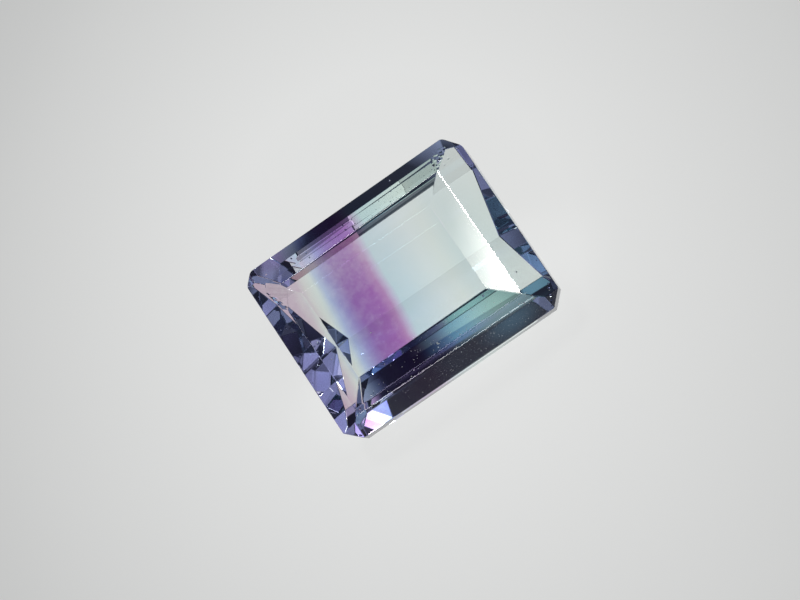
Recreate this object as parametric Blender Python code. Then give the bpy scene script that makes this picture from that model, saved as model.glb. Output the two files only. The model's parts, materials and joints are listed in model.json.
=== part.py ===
"""A cut and polished fluorite in a rectangular step cut, lying on one of its main pavilion facets.

The stone is drawn as a cutter draws it: the table faces +Z, the long sides run along X, and the
middle of the girdle is at height zero. It is cut from a block, one facet plane at a time, and then
turned about X so that the near main pavilion facet lies flat on the surface below.
"""

from collections import namedtuple
from math import atan2, cos, degrees, radians, sin, tan

import bmesh
import bpy
from mathutils import Euler, Vector

# Driving dimensions, in metres. The sides are named as seen with the table towards the eye:
# right and left are the two ends, at +X and -X, and far and near are the long sides, at +Y and -Y.
TABLE_HEIGHT = 0.00147
GIRDLE_HALF = 0.00051
GIRDLE = {"right": 0.00497, "far": 0.00394, "left": 0.00502, "near": 0.00395}
AZIMUTH = {"right": 0.0, "far": 90.0, "left": 180.0, "near": 270.0}

# Slopes are in degrees from the girdle plane. Skew is the few tenths of a degree by which a facet
# was ground out of true, as a turn about the stone's axis.
Step = namedtuple("Step", "slope start skew")
Facet = namedtuple("Facet", "side slope reach level skew")

# Crown steps from the table outwards: the slope, how far from the axis the step starts, and the
# skew. The last step of each side has no slope here, because it ends on the girdle's top edge.
CROWN = {
    "right": [Step(17.4, 0.00271, -0.1), Step(None, 0.00376, 0.1)],
    "left": [Step(20.4, 0.00320, 0.6), Step(None, 0.00406, 0.8)],
    "far": [Step(16.5, 0.00187, -0.3), Step(28.6, 0.00277, 0.4), Step(None, 0.00321, 0.7)],
    "near": [Step(18.9, 0.00200, 0.6), Step(26.9, 0.00291, 0.5), Step(None, 0.00318, 0.3)],
}

# Pavilion: a main facet on each long side, a narrow steeper one between it and the girdle, and one
# steep facet at each end. Reach is how far out the facet's plane is at the girdle's lower edge.
MAIN_SLOPE = 33.9
REST_SIDE = "near"
PAVILION = [
    Facet("far", MAIN_SLOPE, 0.00485, -GIRDLE_HALF, -0.2),
    Facet(REST_SIDE, MAIN_SLOPE, 0.00484, -GIRDLE_HALF, 0.0),
    Facet("far", 48.1, GIRDLE["far"], -GIRDLE_HALF, 0.0),
    Facet("near", 46.8, GIRDLE["near"], -GIRDLE_HALF, -0.1),
    Facet("right", 61.4, 0.00511, -GIRDLE_HALF, -0.3),
    Facet("left", 61.4, 0.00491, -GIRDLE_HALF, -1.1),
]

# Corners: each is cut off across the girdle and backed by one small crown and pavilion facet.
# The leg is how much of each side the cut takes, and the azimuth is the way that the cut faces.
Corner = namedtuple("Corner", "sides azimuth leg")
CORNERS = [
    Corner(("right", "far"), 38.0, 0.00058),
    Corner(("left", "far"), 135.0, 0.00044),
    Corner(("left", "near"), 225.0, 0.00060),
    Corner(("right", "near"), 315.0, 0.00057),
]
CORNER_CROWN_SLOPE = 40.0
CORNER_PAVILION_SLOPE = 57.0

# The block that the stone is cut from, a little larger all round than the finished stone.
BLOCK_SIZE = (0.012, 0.010, 0.012)
ON_PLANE = 1e-8
WELD = 1e-6

STONE_COLOR = (0.80, 0.84, 0.83, 1.0)
FLUORITE_IOR = 1.434


def facet_plane(facet, up):
    """Return a point on the facet's plane and its outward normal; up is 1 above the girdle."""
    true_way = radians(AZIMUTH[facet.side])
    way = true_way + radians(facet.skew)
    slope = radians(facet.slope)
    point = Vector((cos(true_way) * facet.reach, sin(true_way) * facet.reach, facet.level))
    normal = Vector((cos(way) * sin(slope), sin(way) * sin(slope), up * cos(slope)))
    return point, normal


def crown_facets(side):
    """Walk down one side of the crown, from the table to the girdle, a step at a time."""
    facets = []
    level = TABLE_HEIGHT
    steps = CROWN[side]
    for step, following in zip(steps, steps[1:] + [None]):
        if following is None:
            drop = level - GIRDLE_HALF
            slope = degrees(atan2(drop, GIRDLE[side] - step.start))
        else:
            drop = (following.start - step.start) * tan(radians(step.slope))
            slope = step.slope
        facets.append(Facet(side, slope, step.start, level, step.skew))
        level -= drop
    return facets


def corner_planes(corner):
    """Return the three planes of a corner: across the girdle, on the crown and on the pavilion."""
    way = radians(corner.azimuth)
    along_x, across = corner.sides
    reach_x = GIRDLE[along_x] * cos(radians(AZIMUTH[along_x]))
    reach_y = GIRDLE[across] * sin(radians(AZIMUTH[across]))
    outward = Vector((cos(way), sin(way), 0.0))
    middle = Vector((reach_x, reach_y, 0.0)) - outward * corner.leg * sin(radians(45.0))
    planes = [(middle, outward)]
    for slope, up in ((CORNER_CROWN_SLOPE, 1.0), (CORNER_PAVILION_SLOPE, -1.0)):
        lean = radians(slope)
        normal = outward * sin(lean) + Vector((0.0, 0.0, up * cos(lean)))
        planes.append((middle + Vector((0.0, 0.0, up * GIRDLE_HALF)), normal))
    return planes


def cutting_planes():
    """List every plane of the stone: table, crown, girdle, pavilion and corners."""
    planes = [(Vector((0.0, 0.0, TABLE_HEIGHT)), Vector((0.0, 0.0, 1.0)))]
    for side in CROWN:
        planes += [facet_plane(facet, 1.0) for facet in crown_facets(side)]
        planes.append(facet_plane(Facet(side, 90.0, GIRDLE[side], 0.0, 0.0), 1.0))
    planes += [facet_plane(facet, -1.0) for facet in PAVILION]
    for corner in CORNERS:
        planes += corner_planes(corner)
    return planes


def grind(stone, point, normal):
    """Take off everything beyond one plane and close the cut with a flat facet."""
    parts = stone.verts[:] + stone.edges[:] + stone.faces[:]
    cut = bmesh.ops.bisect_plane(
        stone, geom=parts, dist=ON_PLANE, plane_co=point, plane_no=normal, clear_outer=True)
    rim = [part for part in cut["geom_cut"] if isinstance(part, bmesh.types.BMEdge)]
    open_rim = [edge for edge in rim if edge.is_boundary]
    if open_rim:
        bmesh.ops.contextual_create(stone, geom=open_rim)


def cut_stone():
    """Cut the stone from its block and return the mesh."""
    stone = bmesh.new()
    bmesh.ops.create_cube(stone, size=1.0)
    bmesh.ops.scale(stone, vec=BLOCK_SIZE, verts=stone.verts)
    for point, normal in cutting_planes():
        grind(stone, point, normal)
    bmesh.ops.remove_doubles(stone, verts=stone.verts, dist=WELD)
    bmesh.ops.recalc_face_normals(stone, faces=stone.faces)
    mesh = bpy.data.meshes.new("fluorite_gem")
    stone.to_mesh(mesh)
    stone.free()
    return mesh


def fluorite():
    """Polished fluorite: clear, almost colourless, with a low refractive index."""
    material = bpy.data.materials.new("polished_fluorite")
    material.use_nodes = True
    shader = material.node_tree.nodes["Principled BSDF"]
    shader.inputs["Base Color"].default_value = STONE_COLOR
    shader.inputs["Metallic"].default_value = 0.0
    shader.inputs["Roughness"].default_value = 0.02
    shader.inputs["IOR"].default_value = FLUORITE_IOR
    shader.inputs["Transmission Weight"].default_value = 1.0
    return material


def lay_down(stone):
    """Turn the stone onto its near main facet, with the middle of its base at the origin."""
    turn = Euler((radians(MAIN_SLOPE), 0.0, 0.0))
    corners = [turn.to_matrix() @ vertex.co for vertex in stone.data.vertices]
    low = [min(corner[axis] for corner in corners) for axis in range(3)]
    high = [max(corner[axis] for corner in corners) for axis in range(3)]
    stone.rotation_euler = turn
    stone.location = (-(low[0] + high[0]) / 2, -(low[1] + high[1]) / 2, -low[2])


def main():
    for old in list(bpy.data.objects):
        bpy.data.objects.remove(old)
    stone = bpy.data.objects.new("fluorite_gem", cut_stone())
    stone.data.materials.append(fluorite())
    bpy.context.scene.collection.objects.link(stone)
    lay_down(stone)


main()
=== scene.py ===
"""A polished, colour-zoned fluorite in a step cut, lying on a pale light table."""
import json
from math import cos, pi, radians, sin, tan
from random import Random

import bmesh
import bpy
from mathutils import Matrix, Vector


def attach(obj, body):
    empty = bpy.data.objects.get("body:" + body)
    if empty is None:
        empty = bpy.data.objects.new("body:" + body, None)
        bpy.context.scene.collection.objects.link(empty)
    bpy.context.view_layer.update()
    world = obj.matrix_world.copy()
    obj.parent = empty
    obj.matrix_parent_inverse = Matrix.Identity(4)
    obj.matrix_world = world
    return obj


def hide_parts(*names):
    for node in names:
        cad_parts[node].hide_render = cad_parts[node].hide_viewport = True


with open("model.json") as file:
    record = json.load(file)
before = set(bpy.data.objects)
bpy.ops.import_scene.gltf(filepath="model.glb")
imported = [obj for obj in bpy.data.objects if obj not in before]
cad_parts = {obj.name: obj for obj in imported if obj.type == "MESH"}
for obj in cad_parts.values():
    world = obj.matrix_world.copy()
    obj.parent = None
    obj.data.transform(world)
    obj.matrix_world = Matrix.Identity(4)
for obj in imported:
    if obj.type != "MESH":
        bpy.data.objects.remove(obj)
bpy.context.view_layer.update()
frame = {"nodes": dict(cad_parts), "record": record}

MM = 0.001
NODE = "fluorite_gem"
BODY = "root"
mounts = {mount["name"]: mount for mount in frame["record"]["mounts"]}

# The stone's own axes in the room: along its long sides, across them, and out of the table. Right and
# far are the sides at their positive ends, left and near those at their negative ends.
TABLE_OUT = Vector(mounts["table_facet"]["axis"]).normalized()
ALONG = Vector((1.0, 0.0, 0.0))
ACROSS = TABLE_OUT.cross(ALONG)
# The middle of the girdle plane, as drawn for the cutter, in the room's frame.
GIRDLE_CENTRE = Vector((0.025, 0.008, 3.123)) * MM

# Camera: how far the eye is off the table's normal, how the picture is turned, and its distance.
EYE_OFF_ALONG = radians(5.63)
EYE_OFF_ACROSS = radians(-9.15)
LONG_SIDE_IN_PICTURE = radians(34.57)
EYE_DISTANCE = 96.5 * MM
AIM_ALONG = -0.381 * MM
AIM_ACROSS = -0.247 * MM
LENS = 112.5
SENSOR_WIDTH = 36.0
# The nearest and the furthest that the camera sees, and how often light may be folded.
SEEN_FROM = 1 * MM
SEEN_TO = 2.0
LIGHT_BOUNCES = 32
GLOSSY_BOUNCES = 24

# Fluorite: its index, and the faint green-blue that it gives light on the way through.
FLUORITE_IOR = 1.434
DEPTH_TINT = "#90d7da"
DEPTH_TINT_DENSITY = 50.0

# Growth zones: how far their planes lean out of the stone's axis and skew across it, and the
# colour of each from left to right, with its place in millimetres from the axis.
ZONES_LEAN = 0.0685
ZONES_SKEW = 0.07
ZONES_REACH = 5.2
ZONES = [(-5.2, "#cfa6c4"), (-3.6, "#e4c6d6"), (-3.3, "#f4ece8"), (-2.98, "#f5f9f3"),
         (-2.72, "#c8d2f4"), (-2.36, "#b0a2da"), (-1.92, "#a976c0"), (-1.1, "#b877c3"),
         (-0.72, "#d098cd"), (-0.5, "#e0ccea"), (-0.3, "#dfeef6"), (0.3, "#e9f4fa"),
         (1.3, "#fbfdfc"), (1.9, "#fcfdf8"), (2.5, "#f2f8f6"), (5.2, "#f8faf4")]
# The zones wander in waves of 1.6 mm, by a fifth of a millimetre each way.
WANDER_WAVE = 1.6 * MM
WANDER_BY = 0.22 * MM
# The stone thins out beyond its middle, so that less of each zone lies under the surface there.
THINS_FROM = 0.6 * MM
THINS_TO = 2.8 * MM
THIN_PALING = 0.25
# The colour is cloudy, in puffs a third of a millimetre across, paler or deeper by these shares.
PUFF_SIZE = 0.32 * MM
PUFF_PALING = (-0.10, 0.14)
# The crumbs differ in tone from one to the next, over this distance.
GRIT_GRAIN = 0.4 * MM

# The middle stretch of a noise's values, in which nearly all of it lies.
NOISE_LOW = 0.3
NOISE_HIGH = 0.7

# The light table: its brightness at distances in millimetres from a middle behind the stone, with
# distances across the picture counted in part. Then a painted brighter patch of glow under the stone,
# which fills in the stone's own shade on the table: its middle, half sizes and gain.
TABLE_WIDTH = 1.2
TABLE_GAP = 0.02 * MM
GLOW_MIDDLE = (0.0, 5.0)
GLOW_ACROSS = 0.7
GLOW_REACH = 80.0
GLOW = [(0.0, 0.725), (7.5, 0.725), (12.0, 0.67), (17.5, 0.60), (20.5, 0.555), (35.0, 0.40),
        (70.0, 0.20)]
# Painted light: a brighter patch of glow under the stone, filling in the stone's shade on the table.
SHADE_FILL_MIDDLE = (0.0, 0.0)
SHADE_FILL_HALF = (9.0, 4.6)
SHADE_FILL_GAIN = 1.18
# The table as light that was folded inside the stone sees it, around the room's middle.
RING_REACH = 12.0
RING = [(0.0, 0.03), (2.9, 0.05), (4.6, 0.50), (7.2, 0.50), (9.0, 0.16), (12.0, 0.13)]

# Surfaces that light has met when it comes out. Straight through the window it is two. On its way to
# the walls the count runs one higher than on its way to the table.
FOLDED_ONCE = 2.5
FOLDED_OFTEN = 5.5

# The walls: their brightness, and two patches that light folded often sees. Each patch has a middle,
# as an azimuth and an elevation, how near to it the patch starts and is full, as cosines, and its
# brightness at those two. The patches are uneven, in blotches, by these shares.
WALL_LEVEL = 0.045
PATCH_ABOVE = ((16, 58), (0.45, 0.88), (0.045, 0.40))
PATCH_BESIDE = ((70, 46), (0.80, 0.95), (0.0, 0.45))
BLOTCHES = 24.0
BLOTCH_SHARES = (0.45, 1.55)

# Ways that several lamps stand in, each an azimuth, 0 on the camera's side and 90 to its right, and
# an elevation.
BY_CAMERA = (-7.5, 47)
BEHIND = (-175, 28.5)
KEY_WAY = (55, 52)
RIGHT_WAY = (70, 45)
# The turn in degrees that lays the bars along the far steps, as the far facets fold them.
BAR_TILT = 4.1
# Slats of light left of the bar: their lower and upper edges in millimetres, and brightness. Then
# how wide they are, how far along their middles lie, and how much lower they hang for the tilt.
SLATS = [(-4.48, -3.87, 0.79), (-3.87, -2.72, 0.40), (-2.72, -1.54, 0.78), (-1.54, -0.85, 0.20)]
SLAT_WIDTH = 3.66
SLAT_ALONG = -2.54
SLAT_DROP = 0.26

# Worn edges: the width of the strip along an edge, along the step at the right, along the edges
# between the near steps, and at the two far corners of the outline.
EDGE_WIDTH = 0.06 * MM
STEP_WIDTH = 0.24 * MM
NEAR_WIDTH = 0.11 * MM
CORNER_WIDTH = 0.30 * MM
# How these edges are told apart: by their places, by how sharp they are at most, and, at the
# corners, by how nearly they run straight out of the table, as a cosine. Edges flatter than the
# first angle aren't worn.
FLAT_ANGLE = radians(5)
STEP_AT = 3.65 * MM
STEP_WITHIN = 0.2 * MM
STEP_ANGLE = radians(15)
NEAR_FROM = 2.5 * MM
NEAR_ANGLE = radians(10)
STRAIGHT_OUT = 0.98
# Three flat cuts round an edge, at these shares of the turn from one facet to the other.
ROUNDING_SHARES = (1 / 6, 0.5, 5 / 6)
# Vertices this close are one, facets within this angle are one, and a cut keeps what is this close.
WELD = 1e-6
SAME_FACET = radians(1)
ON_PLANE = 1e-7

# Two breaks, at the far left and far right. Each is cut by a sheet through three places on the stone,
# in millimetres along, across and out of it, with the sheet's size and its cells.
CLEAVAGE_PLACES = ((-4.49, 2.89, 0.89), (-3.64, 2.21, 1.31), (-4.35, 2.16, 0.98))
CLEAVAGE_SIZE = (1.15, 0.95)
CLEAVAGE_ROWS = 13
CLEAVAGE_STEP = 0.003 * MM
HACKLY_PLACES = ((3.68, 2.88, 1.15), (3.89, 3.49, 0.81), (4.24, 3.32, 0.88))
HACKLY_SIZE = (0.72, 0.66)
HACKLY_CELLS = (13, 12)
HACKLY_DEPTH = 0.012 * MM
CUTTER_HEIGHT = 0.6 * MM

# Chips along the crown's edges: places in millimetres along and across the stone, and a radius.
CHIPS = [(4.70, -2.79, 0.05), (4.74, -3.06, 0.06), (4.66, -3.25, 0.08), (4.55, -3.49, 0.09),
         (4.44, -3.68, 0.08), (4.37, -3.83, 0.05), (3.58, -3.20, 0.05), (3.79, 2.98, 0.05),
         (4.02, 2.93, 0.05), (4.26, 3.08, 0.06), (-1.28, -2.92, 0.05), (-3.85, -3.02, 0.06),
         (-3.19, -2.84, 0.05), (-4.08, 3.41, 0.05), (1.91, 3.70, 0.07), (-4.47, -3.80, 0.07),
         (-4.70, 3.50, 0.06), (4.76, 3.24, 0.06)]
# Finer chips: on the near edges, by how far across each edge lies, and on the end edges, by how far
# along each lies and how many chips it has.
FINE_CHIP = (0.018, 0.035)
NEAR_EDGES = (-2.92, -3.19, -3.90)
NEAR_EDGE_CHIPS = 7
NEAR_EDGE_REACH = (-3.6, 3.9)
END_EDGES = ((3.77, 3), (4.90, 5), (-4.05, 5), (-4.92, 5))
END_EDGE_REACH = (-2.6, 2.6)

# Crumbs that lie on the stone: the ones that stand out, as places and a radius in millimetres.
CRUMBS = [(-1.85, -0.89, 0.030), (2.50, -1.10, 0.024), (2.91, -1.09, 0.018), (0.02, -2.63, 0.055),
          (0.07, -2.68, 0.030), (-1.31, -2.96, 0.030), (3.50, -3.16, 0.026), (-3.70, -0.85, 0.030)]
# The rest, in millimetres: many on the near steps, thickest right of the middle, and a few anywhere.
# Growth is how much larger than the smallest a crumb on the steps is, on average.
STEP_CRUMBS = 380
STEP_CRUMBS_MIDDLE = 1.4
STEP_CRUMBS_SPREAD = 1.9
STEP_CRUMBS_ALONG = (-3.8, 4.0)
STEP_CRUMBS_ACROSS = (-3.8, -2.03)
SMALLEST_CRUMB = 0.007
CRUMB_GROWTH = 0.005
LOOSE_CRUMBS = 40
LOOSE_CRUMBS_ALONG = (-4.6, 4.6)
LOOSE_CRUMBS_ACROSS = (-3.5, 1.5)
LOOSE_CRUMB = (SMALLEST_CRUMB, 0.014)
# How much longer, wider or higher than round a lump may be.
LUMP_SHAPE = ((0.8, 1.3), (0.6, 1.0), (0.6, 0.9))
# A line that looks for the stone's surface starts this far out, in millimetres.
ABOVE_TABLE = 4.0


def linear(hex_color):
    """Turn an sRGB hex colour into the linear values that a shader takes."""
    channels = [int(hex_color[i:i + 2], 16) / 255 for i in (1, 3, 5)]
    return tuple(c / 12.92 if c <= 0.04045 else ((c + 0.055) / 1.055) ** 2.4 for c in channels)


def rgba(hex_color):
    """Turn an sRGB hex colour into a linear one that is not see-through."""
    return (*linear(hex_color), 1.0)


def node(tree, kind, settings=None, values=None, links=None):
    """Add one node, with its settings, socket values and incoming links."""
    made = tree.nodes.new(kind)
    for name, value in (settings or {}).items():
        setattr(made, name, value)
    for socket, value in (values or {}).items():
        made.inputs[socket].default_value = value
    for socket, source in (links or {}).items():
        tree.links.new(source, made.inputs[socket])
    return made


def set_stops(ramp, stops):
    """Give a colour ramp its stops, each a place from 0 to 1 and a linear colour."""
    elements = ramp.color_ramp.elements
    while len(elements) < len(stops):
        elements.new(0.5)
    for element, (place, color) in zip(elements, stops):
        element.position = place
        element.color = color


def set_levels(ramp, reach, levels):
    """Give a ramp its levels of brightness, each at a distance within the reach."""
    set_stops(ramp, [(away / reach, (level, level, level, 1.0)) for away, level in levels])


def new_material(name):
    material = bpy.data.materials.new(name)
    material.use_nodes = True
    material.node_tree.nodes.clear()
    return material


def on_stone(along, across, out):
    """Turn millimetres along, across and out of the stone into a place in the room."""
    return GIRDLE_CENTRE + (ALONG * along + ACROSS * across + TABLE_OUT * out) * MM


def growth_zones(tree, place):
    """Colour each place in the stone by the growth zone that it lies in."""
    lean = ALONG - TABLE_OUT * ZONES_LEAN - ACROSS * ZONES_SKEW
    reading = node(tree, "ShaderNodeVectorMath", settings={"operation": "DOT_PRODUCT"},
                   values={1: lean}, links={0: place})
    wander = node(tree, "ShaderNodeTexNoise", values={"Scale": 1 / WANDER_WAVE, "Detail": 3.0},
                  links={"Vector": place})
    offset = node(tree, "ShaderNodeMapRange", values={"To Min": -WANDER_BY, "To Max": WANDER_BY},
                  links={"Value": wander.outputs["Fac"]})
    zone = node(tree, "ShaderNodeMath", settings={"operation": "ADD"},
                links={0: reading.outputs["Value"], 1: offset.outputs["Result"]})
    start = GIRDLE_CENTRE.dot(lean)
    span = node(tree, "ShaderNodeMapRange", values={
        "From Min": start - ZONES_REACH * MM, "From Max": start + ZONES_REACH * MM},
        links={"Value": zone.outputs["Value"]})
    ramp = node(tree, "ShaderNodeValToRGB", links={"Fac": span.outputs["Result"]})
    set_stops(ramp, [((x + ZONES_REACH) / (2 * ZONES_REACH), rgba(color)) for x, color in ZONES])
    return ramp.outputs["Color"]


def zones_paling(tree, place):
    """Work out how pale the zones are: paler where the stone thins out, and cloudy all over."""
    depth = node(tree, "ShaderNodeVectorMath", settings={"operation": "DOT_PRODUCT"},
                 values={1: ACROSS}, links={0: place})
    middle = GIRDLE_CENTRE.dot(ACROSS)
    thin = node(tree, "ShaderNodeMapRange", values={
        "From Min": middle + THINS_FROM, "From Max": middle + THINS_TO,
        "To Min": 0.0, "To Max": THIN_PALING}, links={"Value": depth.outputs["Value"]})
    cloud = node(tree, "ShaderNodeTexNoise", values={
        "Scale": 1 / PUFF_SIZE, "Detail": 4.0, "Roughness": 0.65}, links={"Vector": place})
    puff = node(tree, "ShaderNodeMapRange", values={
        "From Min": NOISE_LOW, "From Max": NOISE_HIGH,
        "To Min": PUFF_PALING[0], "To Max": PUFF_PALING[1]}, links={"Value": cloud.outputs["Fac"]})
    paling = node(tree, "ShaderNodeMath", settings={"operation": "ADD", "use_clamp": True},
                  links={0: thin.outputs["Result"], 1: puff.outputs["Result"]})
    return paling.outputs["Value"]


def polished_fluorite():
    """Fluorite, zoned as it grew: clear, with a violet band and a pinkish end.

    Its low refractive index is why the stone looks watery, with a large window.
    """
    material = new_material("polished_zoned_fluorite")
    tree = material.node_tree
    place = node(tree, "ShaderNodeTexCoord").outputs["Object"]
    # A colour mix takes its two colours by sockets 6 and 7, and gives the mixed one by socket 2.
    zoned = node(tree, "ShaderNodeMix", settings={"data_type": "RGBA"}, values={7: rgba("#ffffff")},
                 links={0: zones_paling(tree, place), 6: growth_zones(tree, place)})
    shader = node(tree, "ShaderNodeBsdfPrincipled", values={
        "Roughness": 0.0, "IOR": FLUORITE_IOR, "Transmission Weight": 1.0},
        links={"Base Color": zoned.outputs[2]})
    tint = node(tree, "ShaderNodeVolumeAbsorption", values={
        "Color": rgba(DEPTH_TINT), "Density": DEPTH_TINT_DENSITY})
    node(tree, "ShaderNodeOutputMaterial", links={
        "Surface": shader.outputs["BSDF"], "Volume": tint.outputs["Volume"]})
    return material


def crushed_fluorite():
    """Crumbs left by the grinding: too fine and broken to be clear, so they scatter white."""
    material = new_material("crushed_fluorite_grit")
    tree = material.node_tree
    place = node(tree, "ShaderNodeTexCoord").outputs["Object"]
    grain = node(tree, "ShaderNodeTexNoise", values={"Scale": 1 / GRIT_GRAIN},
                 links={"Vector": place})
    ramp = node(tree, "ShaderNodeValToRGB", links={"Fac": grain.outputs["Fac"]})
    set_stops(ramp, [(0.35, rgba("#e9f4f6")), (0.65, rgba("#fffdf6"))])
    shader = node(tree, "ShaderNodeBsdfPrincipled", values={"Roughness": 0.55, "IOR": FLUORITE_IOR},
                  links={"Base Color": ramp.outputs["Color"]})
    node(tree, "ShaderNodeOutputMaterial", links={"Surface": shader.outputs["BSDF"]})
    return material


def distance_from(tree, place, middle, stretch):
    """Measure how far a place on the table is from a middle, each way stretched by its share."""
    shifted = node(tree, "ShaderNodeVectorMath", settings={"operation": "SUBTRACT"},
                   values={1: (middle[0] * MM, middle[1] * MM, 0.0)}, links={0: place})
    stretched = node(tree, "ShaderNodeVectorMath", settings={"operation": "MULTIPLY"},
                     values={1: (*stretch, 0.0)}, links={0: shifted.outputs["Vector"]})
    away = node(tree, "ShaderNodeVectorMath", settings={"operation": "LENGTH"},
                links={0: stretched.outputs["Vector"]})
    return away.outputs["Value"]


def met_more_than(tree, surfaces):
    """Tell light that has met more surfaces than this from the rest."""
    path = node(tree, "ShaderNodeLightPath")
    folded = node(tree, "ShaderNodeMath", settings={"operation": "GREATER_THAN"},
                  values={1: surfaces}, links={0: path.outputs["Ray Depth"]})
    return folded.outputs["Value"]


def table_glow(tree, place):
    """The table's brightness: it dies away outwards, and is a little higher under the stone, a
    painted brighter patch that fills in the stone's shade on the table.
    """
    reach = node(tree, "ShaderNodeMapRange", values={"From Max": GLOW_REACH * MM},
                 links={"Value": distance_from(tree, place, GLOW_MIDDLE, (1.0, GLOW_ACROSS))})
    glow = node(tree, "ShaderNodeValToRGB", links={"Fac": reach.outputs["Result"]})
    set_levels(glow, GLOW_REACH, GLOW)
    # Painted light: the glow is raised under the stone to fill in the shade that the stone casts
    # there.
    over_shade_fill = distance_from(tree, place, SHADE_FILL_MIDDLE, [1 / (half * MM) for half in SHADE_FILL_HALF])
    gain = node(tree, "ShaderNodeMapRange", settings={"interpolation_type": "SMOOTHSTEP"}, values={
        "From Min": 0.0, "From Max": 1.0, "To Min": SHADE_FILL_GAIN, "To Max": 1.0},
        links={"Value": over_shade_fill})
    strength = node(tree, "ShaderNodeMath", settings={"operation": "MULTIPLY"},
                    links={0: glow.outputs["Color"], 1: gain.outputs["Result"]})
    return strength.outputs["Value"]


def lit_acrylic():
    """Opal acrylic lit from below: a pale glow that dies away outwards, and a matt face."""
    material = new_material("lit_opal_acrylic")
    tree = material.node_tree
    place = node(tree, "ShaderNodeTexCoord").outputs["Object"]
    shader = node(tree, "ShaderNodeBsdfPrincipled", values={
        "Base Color": rgba("#5a5c5a"), "Roughness": 0.6, "Emission Color": rgba("#fdfefd")},
        links={"Emission Strength": table_glow(tree, place)})
    # Light that was folded inside the stone shows the table as a dim violet ring with a shaded
    # middle, as it would if the stone were held well clear of it.
    close = node(tree, "ShaderNodeMapRange", values={"From Max": RING_REACH * MM},
                 links={"Value": distance_from(tree, place, (0.0, 0.0), (1.0, 1.0))})
    ring = node(tree, "ShaderNodeValToRGB", links={"Fac": close.outputs["Result"]})
    set_levels(ring, RING_REACH, RING)
    dim = node(tree, "ShaderNodeEmission", values={"Color": rgba("#c8c9fa")},
               links={"Strength": ring.outputs["Color"]})
    seen = node(tree, "ShaderNodeMixShader", links={
        "Fac": met_more_than(tree, FOLDED_ONCE), 1: shader.outputs["BSDF"],
        2: dim.outputs["Emission"]})
    node(tree, "ShaderNodeOutputMaterial", links={"Surface": seen.outputs["Shader"]})
    return material


def make_floor():
    bpy.ops.object.select_all(action="DESELECT")
    bpy.ops.mesh.primitive_plane_add(size=TABLE_WIDTH, location=(0, 0, -TABLE_GAP))
    floor = bpy.context.object
    floor.name = "light_table"
    floor.data.materials.append(lit_acrylic())


def worn_width(middle, run, angle):
    """Say how wide an edge is worn, from its middle, the way it runs and how sharp it is."""
    beyond = (middle - GIRDLE_CENTRE).dot(ACROSS)
    if abs(run.dot(TABLE_OUT)) > STRAIGHT_OUT and beyond > 0:
        return CORNER_WIDTH
    if beyond < -NEAR_FROM and angle < NEAR_ANGLE:
        return NEAR_WIDTH
    if abs(middle.x - STEP_AT) < STEP_WITHIN and angle < STEP_ANGLE:
        return STEP_WIDTH
    return EDGE_WIDTH


def edge_cuts(stone):
    """List the narrow planes that round off every edge of the stone."""
    mesh = bmesh.from_edit_mesh(stone.data)
    cuts = []
    for edge in mesh.edges:
        first, second = (face.normal.copy() for face in edge.link_faces)
        angle = first.angle(second)
        if angle < FLAT_ANGLE:
            continue
        middle = (edge.verts[0].co + edge.verts[1].co) / 2
        outward = (first + second).normalized()
        run = (edge.verts[1].co - edge.verts[0].co).normalized()
        radius = worn_width(middle, run, angle) / (2 * sin(angle / 2))
        axis = middle - outward * radius / cos(angle / 2)
        for share in ROUNDING_SHARES:
            facing = first.slerp(second, share)
            cuts.append((axis + facing * radius, facing))
    return cuts


def grind(point, outward):
    """Take off everything beyond one plane and close the cut with a flat facet."""
    bpy.ops.mesh.select_all(action="SELECT")
    bpy.ops.mesh.bisect(plane_co=point, plane_no=outward, use_fill=True, clear_outer=True,
                        threshold=ON_PLANE)


def make_active(piece):
    bpy.ops.object.select_all(action="DESELECT")
    piece.select_set(True)
    bpy.context.view_layer.objects.active = piece


def apply_place():
    bpy.ops.object.transform_apply(location=True, rotation=True, scale=True)


def join_all(pieces):
    """Join the pieces into the first of them and bring its origin to the middle of the room."""
    make_active(pieces[0])
    for piece in pieces:
        piece.select_set(True)
    bpy.ops.object.join()
    apply_place()
    return pieces[0]


def take_off(stone, cutter):
    """Cut one shape out of the stone and throw the shape away."""
    make_active(stone)
    cut = stone.modifiers.new("break", "BOOLEAN")
    cut.operation = "DIFFERENCE"
    cut.solver = "EXACT"
    cut.use_self = True
    cut.object = cutter
    bpy.ops.object.modifier_apply(modifier=cut.name)
    bpy.data.objects.remove(cutter)


def surface(stone, along, across):
    """Find where a line straight down through the table side meets the stone."""
    found, place, facing, _ = stone.ray_cast(on_stone(along, across, ABOVE_TABLE), -TABLE_OUT)
    if not found:
        raise ValueError(f"nothing of the stone at {along}, {across}")
    return place, facing


def break_sheet(name, places, size, cells):
    """Add a sheet through three places on the stone, facing out.

    Return it, the way that it faces, and the way along its second side.
    """
    a, b, c = (on_stone(*place) for place in places)
    out = (b - a).cross(c - a).normalized()
    if out.dot(TABLE_OUT) < 0:
        out.negate()
    run = (b - a).normalized()
    side = out.cross(run)
    lie = Matrix((run, side, out)).transposed()
    bpy.ops.object.select_all(action="DESELECT")
    bpy.ops.mesh.primitive_grid_add(
        x_subdivisions=cells[0], y_subdivisions=cells[1], size=MM, location=(a + b + c) / 3,
        rotation=lie.to_euler(), scale=(*size, 1.0))
    sheet = bpy.context.object
    sheet.name = name
    apply_place()
    return sheet, out, side


def thicken(out):
    """Raise the sheet's top well clear of the stone, so that it cuts as a closed block."""
    bpy.ops.mesh.select_all(action="SELECT")
    bpy.ops.mesh.extrude_region_move(TRANSFORM_OT_translate={"value": out * CUTTER_HEIGHT})
    bpy.ops.mesh.select_all(action="SELECT")
    bpy.ops.mesh.normals_make_consistent(inside=False)
    bpy.ops.object.mode_set(mode="OBJECT")


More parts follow.
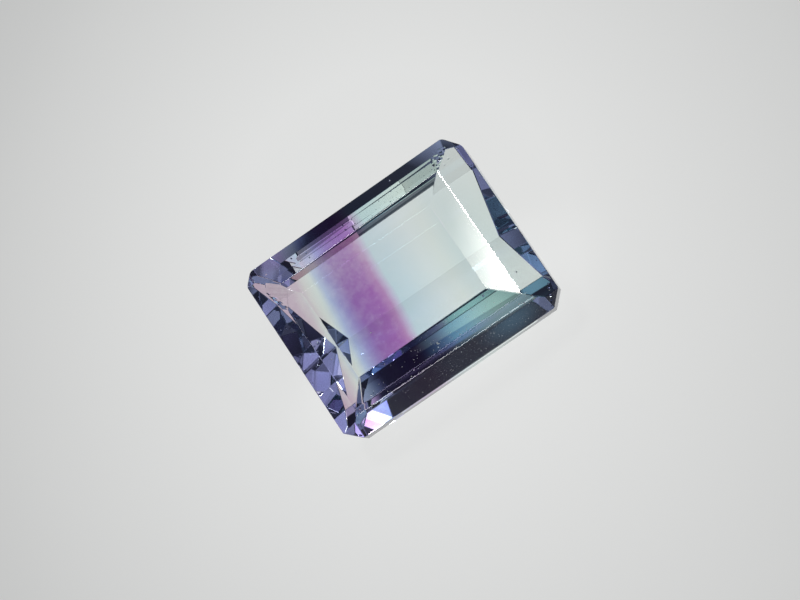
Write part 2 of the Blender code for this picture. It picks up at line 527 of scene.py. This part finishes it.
def cleavage_step():
    """A shallow cleavage face, with fine steps running along it."""
    sheet, out, side = break_sheet("cleavage", CLEAVAGE_PLACES, CLEAVAGE_SIZE, (2, CLEAVAGE_ROWS))
    bpy.ops.object.mode_set(mode="EDIT")
    mesh = bmesh.from_edit_mesh(sheet.data)
    lowest = min(vertex.co.dot(side) for vertex in mesh.verts)
    row_width = CLEAVAGE_SIZE[1] * MM / CLEAVAGE_ROWS
    for vertex in mesh.verts:
        row = round((vertex.co.dot(side) - lowest) / row_width)
        vertex.select_set(row % 2 == 1)
    mesh.select_flush_mode()
    bmesh.update_edit_mesh(sheet.data)
    bpy.ops.transform.translate(value=out * CLEAVAGE_STEP)
    thicken(out)
    return sheet


def hackly_break():
    """A rough break, with no direction to it."""
    sheet, out, _ = break_sheet("hackly", HACKLY_PLACES, HACKLY_SIZE, HACKLY_CELLS)
    bpy.ops.object.mode_set(mode="EDIT")
    bpy.ops.mesh.select_all(action="SELECT")
    bpy.ops.transform.vertex_random(offset=HACKLY_DEPTH, uniform=0.0, normal=0.7, seed=4)
    thicken(out)
    return sheet


def all_chips():
    """List the chips, with the fine ones strewn along their edges."""
    dice = Random(3)
    places = list(CHIPS)
    for across in NEAR_EDGES:
        for _ in range(NEAR_EDGE_CHIPS):
            places.append((dice.uniform(*NEAR_EDGE_REACH), across, dice.uniform(*FINE_CHIP)))
    for along, count in END_EDGES:
        for _ in range(count):
            places.append((along, dice.uniform(*END_EDGE_REACH), dice.uniform(*FINE_CHIP)))
    return places


def all_crumbs():
    """List the crumbs, thick on the near steps of the crown and sparse over the rest."""
    dice = Random(5)
    leftmost, rightmost = STEP_CRUMBS_ALONG
    places = list(CRUMBS)
    for _ in range(STEP_CRUMBS):
        along = min(max(dice.gauss(STEP_CRUMBS_MIDDLE, STEP_CRUMBS_SPREAD), leftmost), rightmost)
        across = dice.uniform(*STEP_CRUMBS_ACROSS)
        places.append((along, across, SMALLEST_CRUMB + dice.expovariate(1 / CRUMB_GROWTH)))
    for _ in range(LOOSE_CRUMBS):
        along = dice.uniform(*LOOSE_CRUMBS_ALONG)
        across = dice.uniform(*LOOSE_CRUMBS_ACROSS)
        places.append((along, across, dice.uniform(*LOOSE_CRUMB)))
    return places


def lumps(stone, places, rise, facets, seed):
    """Add one lump at each place, irregular and partly sunk, and join them all.

    Rise is how far a lump's middle stands out of the stone, as a share of its radius.
    """
    dice = Random(seed)
    made = []
    for along, across, radius in places:
        place, facing = surface(stone, along, across)
        turn = [dice.uniform(0, pi) for _ in range(3)]
        shape = [dice.uniform(*shares) for shares in LUMP_SHAPE]
        bpy.ops.object.select_all(action="DESELECT")
        bpy.ops.mesh.primitive_ico_sphere_add(
            subdivisions=facets, radius=radius * MM, location=place + facing * radius * rise * MM,
            rotation=turn, scale=shape)
        made.append(bpy.context.object)
    return join_all(made)


def dress_stone():
    """Copy the cut stone, weld its triangles, wear its edges and give it its finish."""
    cut = frame["nodes"][NODE]
    stone = bpy.data.objects.new("polished_gem", cut.data.copy())
    bpy.context.scene.collection.objects.link(stone)
    make_active(stone)
    bpy.ops.object.mode_set(mode="EDIT")
    bpy.ops.mesh.select_all(action="SELECT")
    bpy.ops.mesh.remove_doubles(threshold=WELD)
    bpy.ops.mesh.dissolve_limited(angle_limit=SAME_FACET)
    for point, outward in edge_cuts(stone):
        grind(point, outward)
    bpy.ops.object.mode_set(mode="OBJECT")
    chips = lumps(stone, all_chips(), rise=0.3, facets=2, seed=7)
    for cutter in (cleavage_step(), hackly_break(), chips):
        take_off(stone, cutter)
    make_active(stone)
    bpy.ops.object.shade_flat()
    stone.data.materials.clear()
    stone.data.materials.append(polished_fluorite())
    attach(stone, BODY)
    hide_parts(NODE)
    return stone


def strew_grit(stone):
    """Strew the crumbs over the stone."""
    grit = lumps(stone, all_crumbs(), rise=0.35, facets=1, seed=9)
    grit.name = "grit"
    grit.data.materials.append(crushed_fluorite())
    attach(grit, BODY)


def make_camera():
    towards_eye = (ALONG * tan(EYE_OFF_ALONG) + ACROSS * tan(EYE_OFF_ACROSS) + TABLE_OUT).normalized()
    side = (ALONG - towards_eye * ALONG.dot(towards_eye)).normalized()
    up = towards_eye.cross(side)
    turn = LONG_SIDE_IN_PICTURE
    right = side * cos(turn) - up * sin(turn)
    top = side * sin(turn) + up * cos(turn)
    place = GIRDLE_CENTRE + side * AIM_ALONG + up * AIM_ACROSS + towards_eye * EYE_DISTANCE
    data = bpy.data.cameras.new("camera")
    data.lens = LENS
    data.sensor_width = SENSOR_WIDTH
    data.clip_start = SEEN_FROM
    data.clip_end = SEEN_TO
    camera = bpy.data.objects.new("camera", data)
    turned = Matrix((right, top, towards_eye)).transposed().to_4x4()
    camera.matrix_world = Matrix.Translation(place) @ turned
    bpy.context.scene.collection.objects.link(camera)
    bpy.context.scene.camera = camera


def direction(azimuth, elevation):
    """Turn an azimuth, 0 on the camera's side and 90 to its right, and an elevation to a way."""
    a, e = radians(azimuth), radians(elevation)
    return Vector((sin(a) * cos(e), -cos(a) * cos(e), sin(e)))


def wall_patch(tree, place, patch):
    """A patch of brighter wall that fades out around its middle."""
    middle, nearness, levels = patch
    facing = node(tree, "ShaderNodeVectorMath", settings={"operation": "DOT_PRODUCT"},
                  values={1: direction(*middle)}, links={0: place})
    level = node(tree, "ShaderNodeMapRange", settings={"interpolation_type": "SMOOTHSTEP"}, values={
        "From Min": nearness[0], "From Max": nearness[1], "To Min": levels[0], "To Max": levels[1]},
        links={"Value": facing.outputs["Value"]})
    return level.outputs["Result"]


def make_walls():
    """A dim lavender room, with two brighter patches that only light folded often sees."""
    world = bpy.data.worlds.new("dim_room")
    world.use_nodes = True
    tree = world.node_tree
    place = node(tree, "ShaderNodeTexCoord").outputs["Generated"]
    both = node(tree, "ShaderNodeMath", settings={"operation": "ADD"}, links={
        0: wall_patch(tree, place, PATCH_ABOVE), 1: wall_patch(tree, place, PATCH_BESIDE)})
    blotches = node(tree, "ShaderNodeTexNoise", values={"Scale": BLOTCHES, "Detail": 2.0},
                    links={"Vector": place})
    uneven = node(tree, "ShaderNodeMapRange", values={
        "From Min": NOISE_LOW, "From Max": NOISE_HIGH,
        "To Min": BLOTCH_SHARES[0], "To Max": BLOTCH_SHARES[1]},
        links={"Value": blotches.outputs["Fac"]})
    patchy = node(tree, "ShaderNodeMath", settings={"operation": "MULTIPLY"},
                  links={0: both.outputs["Value"], 1: uneven.outputs["Result"]})
    lit = node(tree, "ShaderNodeMath", settings={"operation": "MULTIPLY_ADD"},
               values={2: WALL_LEVEL},
               links={0: met_more_than(tree, FOLDED_OFTEN), 1: patchy.outputs["Value"]})
    background = tree.nodes["Background"]
    background.inputs["Color"].default_value = rgba("#b4b0e6")
    tree.links.new(lit.outputs["Value"], background.inputs["Strength"])
    bpy.context.scene.world = world


def fade_out(data, fade):
    """Let a lamp's light die away over this share of its half width, towards its rim."""
    data.use_nodes = True
    tree = data.node_tree
    tree.nodes.clear()
    # Its parametric coordinates run from 0 to 1 across the lamp, with 0.5 in its middle.
    place = node(tree, "ShaderNodeNewGeometry").outputs["Parametric"]
    centred = node(tree, "ShaderNodeVectorMath", settings={"operation": "SUBTRACT"},
                   values={1: (0.5, 0.5, 0.0)}, links={0: place})
    flat = node(tree, "ShaderNodeVectorMath", settings={"operation": "MULTIPLY"},
                values={1: (1.0, 1.0, 0.0)}, links={0: centred.outputs["Vector"]})
    reach = node(tree, "ShaderNodeVectorMath", settings={"operation": "LENGTH"},
                 links={0: flat.outputs["Vector"]})
    dying = node(tree, "ShaderNodeMapRange", settings={"interpolation_type": "SMOOTHSTEP"}, values={
        "From Min": 0.5 * (1 - fade), "From Max": 0.5, "To Min": 1.0, "To Max": 0.0},
        links={"Value": reach.outputs["Value"]})
    glow = node(tree, "ShaderNodeEmission", links={"Strength": dying.outputs["Result"]})
    node(tree, "ShaderNodeOutputLight", links={"Surface": glow.outputs["Emission"]})


def soft_box(name, way, distance, size, brightness, shift=(0.0, 0.0), fade=0.0, tilt=0.0,
             color="#ffffff"):
    """A soft box that faces the stone: a rectangle, or an ellipse where it fades out.

    Its lengths are in millimetres, its shift is right and up on its own plane, and its tilt is a
    turn on that plane in degrees. Brightness is what a ray that meets it sees.
    """
    azimuth, elevation = way
    outward = direction(azimuth, elevation)
    level = Vector((cos(radians(azimuth)), sin(radians(azimuth)), 0.0))
    raised = outward.cross(level)
    width, height = size[0] * MM, size[1] * MM
    data = bpy.data.lights.new(name, "AREA")
    data.shape = "ELLIPSE" if fade else "RECTANGLE"
    data.size, data.size_y = width, height
    area = width * height * (pi / 4 if fade else 1.0)
    data.energy = brightness * pi * area
    data.color = linear(color)
    if fade:
        fade_out(data, fade)
    lamp = bpy.data.objects.new(name, data)
    centre = GIRDLE_CENTRE + outward * distance * MM + (level * shift[0] + raised * shift[1]) * MM
    lie = Matrix((level, raised, outward)).transposed().to_4x4()
    lamp.matrix_world = Matrix.Translation(centre) @ lie @ Matrix.Rotation(radians(tilt), 4, "Z")
    lamp.visible_camera = False
    bpy.context.scene.collection.objects.link(lamp)


def hang_bars():
    """Bars and slats close to the stone, seen through the far steps of the crown.

    Lamps that overlap hang a fraction of a millimetre apart, so that each adds its own light.
    """
    soft_box("bar", BY_CAMERA, 40, (3.55, 3.55), 0.86, shift=(1.03, -2.63), tilt=BAR_TILT,
             color="#fffaf0")
    soft_box("bar_right", BY_CAMERA, 40.2, (3.8, 3.55), 0.55, shift=(4.72, -2.36), tilt=BAR_TILT,
             color="#fffaf0")
    for number, (low, high, brightness) in enumerate(SLATS):
        soft_box(f"slat_{number}", BY_CAMERA, 40.1, (SLAT_WIDTH, high - low), brightness,
                 shift=(SLAT_ALONG, (low + high) / 2 - SLAT_DROP), tilt=BAR_TILT, color="#ffe8ff")
    soft_box("ledge_left", BY_CAMERA, 40.1, (4.94, 0.92), 0.5, shift=(-3.18, -5.24), tilt=BAR_TILT,
             color="#ffd2d4")
    soft_box("ledge_right", BY_CAMERA, 40.1, (7.3, 0.8), 0.12, shift=(2.94, -4.87), tilt=BAR_TILT,
             color="#fff0fa")
    soft_box("slat_end", BY_CAMERA, 40.1, (1.3, 3.64), 0.95, shift=(-5.0, -3.09), tilt=BAR_TILT,
             color="#e8eeff")
    soft_box("bar_low", BY_CAMERA, 41, (12, 3.0), 0.06, shift=(0, -5.0), tilt=BAR_TILT)
    soft_box("bar_corner", BY_CAMERA, 40, (4, 3), 0.9, shift=(2.4, -9.0), fade=0.6)


def hang_sheens():
    """Green-blue sheens, seen through the near steps."""
    soft_box("sheen_step", BY_CAMERA, 40.7, (12, 5.2), 0.52, shift=(4.0, 1.4), fade=1.0,
             color="#dceefa")
    soft_box("sheen", BY_CAMERA, 40.5, (11, 6.8), 0.70, shift=(1.9, 5.2), fade=1.0, color="#d6f0e8")
    soft_box("sheen_blue", BY_CAMERA, 40.3, (5.4, 7), 0.25, shift=(0.2, 3.4), fade=1.0,
             color="#5cb2ff")
    soft_box("sheen_left", BY_CAMERA, 40.5, (4.5, 6), 0.75, shift=(-6.9, 2.4), fade=1.0,
             color="#cfdcff")
    soft_box("sheen_back", BEHIND, 60, (9.2, 8.4), 0.75, shift=(-0.3, -3.3), fade=1.0,
             color="#e4f2e8")
    soft_box("sheen_low", BEHIND, 60.5, (6, 2.8), 0.12, shift=(-3.0, 6.2), fade=1.0, color="#9fd8ff")


def hang_key():
    """The key, whose reflection fills the right step, and the light on the step's worn edge."""
    soft_box("key", KEY_WAY, 120, (30, 15.4), 34.0, shift=(4.6, -6.7), fade=1.0, tilt=17,
             color="#fffaf0")
    soft_box("edge", RIGHT_WAY, 120, (20, 8), 24.0, shift=(-11.3, 8.3), fade=0.3, tilt=36,
             color="#eef4ff")


def hang_corner_lamps():
    """Small lamps that the folded left end, its edge and the two near corners pick up."""
    soft_box("left_glow", RIGHT_WAY, 121, (9, 9), 0.7, shift=(3.8, -15.4), fade=1.0, color="#efe2ff")
    soft_box("left_haze", RIGHT_WAY, 122, (16, 12), 0.3, shift=(0.9, -1.2), fade=1.0,
             color="#b8b8ff")
    soft_box("corner_left", (39, 56), 40, (6, 6), 1.1, shift=(-0.8, 2.9), fade=1.0, color="#e6c8ff")
    soft_box("left_low", (54, 9.5), 75, (16, 10), 0.07, fade=0.5, color="#b4a8ff")
    soft_box("lower_left", (22, 66), 40, (7, 7), 0.6, shift=(-2.2, 3.5), fade=1.0, color="#e4d4ff")
    soft_box("lower_right", (-37, 63), 40, (7, 7), 0.42, shift=(1.0, 3.3), fade=1.0,
             color="#a8d6f4")
    soft_box("spark", KEY_WAY, 40, (4.0, 4.0), 2.6, shift=(0.9, 3.8), fade=1.0)
    soft_box("spark_pink", KEY_WAY, 40.3, (3.0, 3.0), 3.0, shift=(-0.2, 2.6), fade=1.0,
             color="#ff9cf2")
    soft_box("spark_blue", KEY_WAY, 40.3, (4.0, 4.0), 1.3, shift=(3.1, 5.6), fade=1.0,
             color="#ccdcff")
    soft_box("pink_left", BY_CAMERA, 40.6, (2.6, 2.6), 1.2, shift=(-6.3, -0.6), fade=1.0,
             color="#eec4ff")
    soft_box("left_edge", (-81, 28), 75, (9, 9), 3.0, fade=1.0)


def hang_front_lamps():
    """Long lamps low in front, which draw the worn edges of the near steps as fine lines."""
    soft_box("front", (-5, 18), 75, (18, 3.4), 4.5, shift=(0.0, -1.6), fade=0.5, color="#dcd6ff")
    soft_box("front_low", (-5, 3.5), 75, (20, 3.4), 9.0, shift=(0.0, -1.6), fade=0.5)
    soft_box("front_lilac", (-5, 11), 74, (17, 1.5), 4.5, shift=(0.2, -2.3), fade=1.0,
             color="#c6b6ff")


def light_room():
    """Make the walls and hang the lamps, the large one overhead first."""
    make_walls()
    soft_box("overhead", (-163, 66), 300, (60, 60), 9.0)
    hang_bars()
    hang_sheens()
    hang_key()
    hang_corner_lamps()
    hang_front_lamps()


scene = bpy.context.scene
scene.view_settings.view_transform = "Standard"
scene.cycles.max_bounces = LIGHT_BOUNCES
scene.cycles.glossy_bounces = GLOSSY_BOUNCES
scene.cycles.transmission_bounces = LIGHT_BOUNCES
make_floor()
make_camera()
light_room()
strew_grit(dress_stone())
